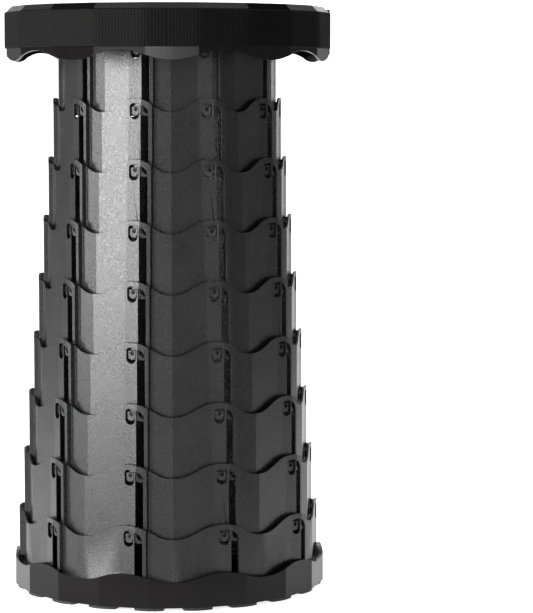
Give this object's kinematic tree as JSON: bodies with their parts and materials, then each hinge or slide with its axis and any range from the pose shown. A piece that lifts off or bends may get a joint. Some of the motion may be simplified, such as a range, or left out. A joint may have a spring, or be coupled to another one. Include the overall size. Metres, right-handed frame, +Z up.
{
  "type": "telescoping camp stool",
  "caption": "Round folding stool: nested slotted rings telescope between a wavy base and a seat with finger holes, a webbing belt and a carry handle.",
  "frame": {"origin": "centre of the underside, on the ground, on the stool's axis", "axes": "+Z up along the stool's axis, -Y toward the front, +X to the right of someone facing the front"},
  "size_m": [0.2544, 0.3241, 0.45],
  "materials": {
    "satin_nylon": "satin, fine grain",
    "gloss_black": "polished",
    "seat_grain": "matt grain with faint petal arcs",
    "webbing": "woven polypropylene webbing",
    "thread": "white sewing thread",
    "slider": "moulded acetal",
    "foot": "matt",
    "screw": "zinc plated"
  },
  "bodies": {
    "base": {"base_tub": "gloss_black", "foot_pads": "foot", "ring_9": "satin_nylon"},
    "ring_8": {"ring_8": "satin_nylon"},
    "ring_7": {"ring_7": "satin_nylon"},
    "ring_6": {"ring_6": "satin_nylon"},
    "ring_5": {"ring_5": "satin_nylon"},
    "ring_4": {"ring_4": "satin_nylon"},
    "ring_3": {"ring_3": "satin_nylon"},
    "ring_2": {"ring_2": "satin_nylon"},
    "ring_1": {"ring_1": "satin_nylon"},
    "seat": {"seat_collar": "satin_nylon", "seat_shell": "gloss_black", "collar_screws": "screw", "seat_face": "seat_grain", "centre_cap": "seat_grain", "belt_webbing": "webbing", "belt_tail": "webbing", "handle_tabs": "webbing", "bar_tacks": "thread"},
    "slider": {"belt_slider": "slider", "slider_fold": "webbing"},
    "handle": {"handle_loop": "webbing"}
  },
  "joints": [
    {"name": "ring_8_slide", "type": "slide", "parent": "base", "child": "ring_8", "axis": [0, 0, 1], "range_m": [-0.04525, 0]},
    {"name": "ring_7_slide", "type": "slide", "parent": "ring_8", "child": "ring_7", "axis": [0, 0, 1], "range_m": [-0.04525, 0]},
    {"name": "ring_6_slide", "type": "slide", "parent": "ring_7", "child": "ring_6", "axis": [0, 0, 1], "range_m": [-0.04525, 0]},
    {"name": "ring_5_slide", "type": "slide", "parent": "ring_6", "child": "ring_5", "axis": [0, 0, 1], "range_m": [-0.04525, 0]},
    {"name": "ring_4_slide", "type": "slide", "parent": "ring_5", "child": "ring_4", "axis": [0, 0, 1], "range_m": [-0.04525, 0]},
    {"name": "ring_3_slide", "type": "slide", "parent": "ring_4", "child": "ring_3", "axis": [0, 0, 1], "range_m": [-0.04525, 0]},
    {"name": "ring_2_slide", "type": "slide", "parent": "ring_3", "child": "ring_2", "axis": [0, 0, 1], "range_m": [-0.04525, 0]},
    {"name": "ring_1_slide", "type": "slide", "parent": "ring_2", "child": "ring_1", "axis": [0, 0, 1], "range_m": [-0.04525, 0]},
    {"name": "seat_slide", "type": "slide", "parent": "ring_1", "child": "seat", "axis": [0, 0, 1], "range_m": [-0.0213, 0]},
    {"name": "handle_bend", "type": "hinge", "parent": "seat", "child": "handle", "pos_m": [-0.0036, 0.13754, 0.43135], "axis": [0.9997, 0.0262, 0], "range_deg": [-35, 80]},
    {"name": "slider_travel", "type": "hinge", "parent": "seat", "child": "slider", "pos_m": [0, 0, 0.43135], "axis": [0, 0, 1], "range_deg": [-8, 14]}
  ]
}
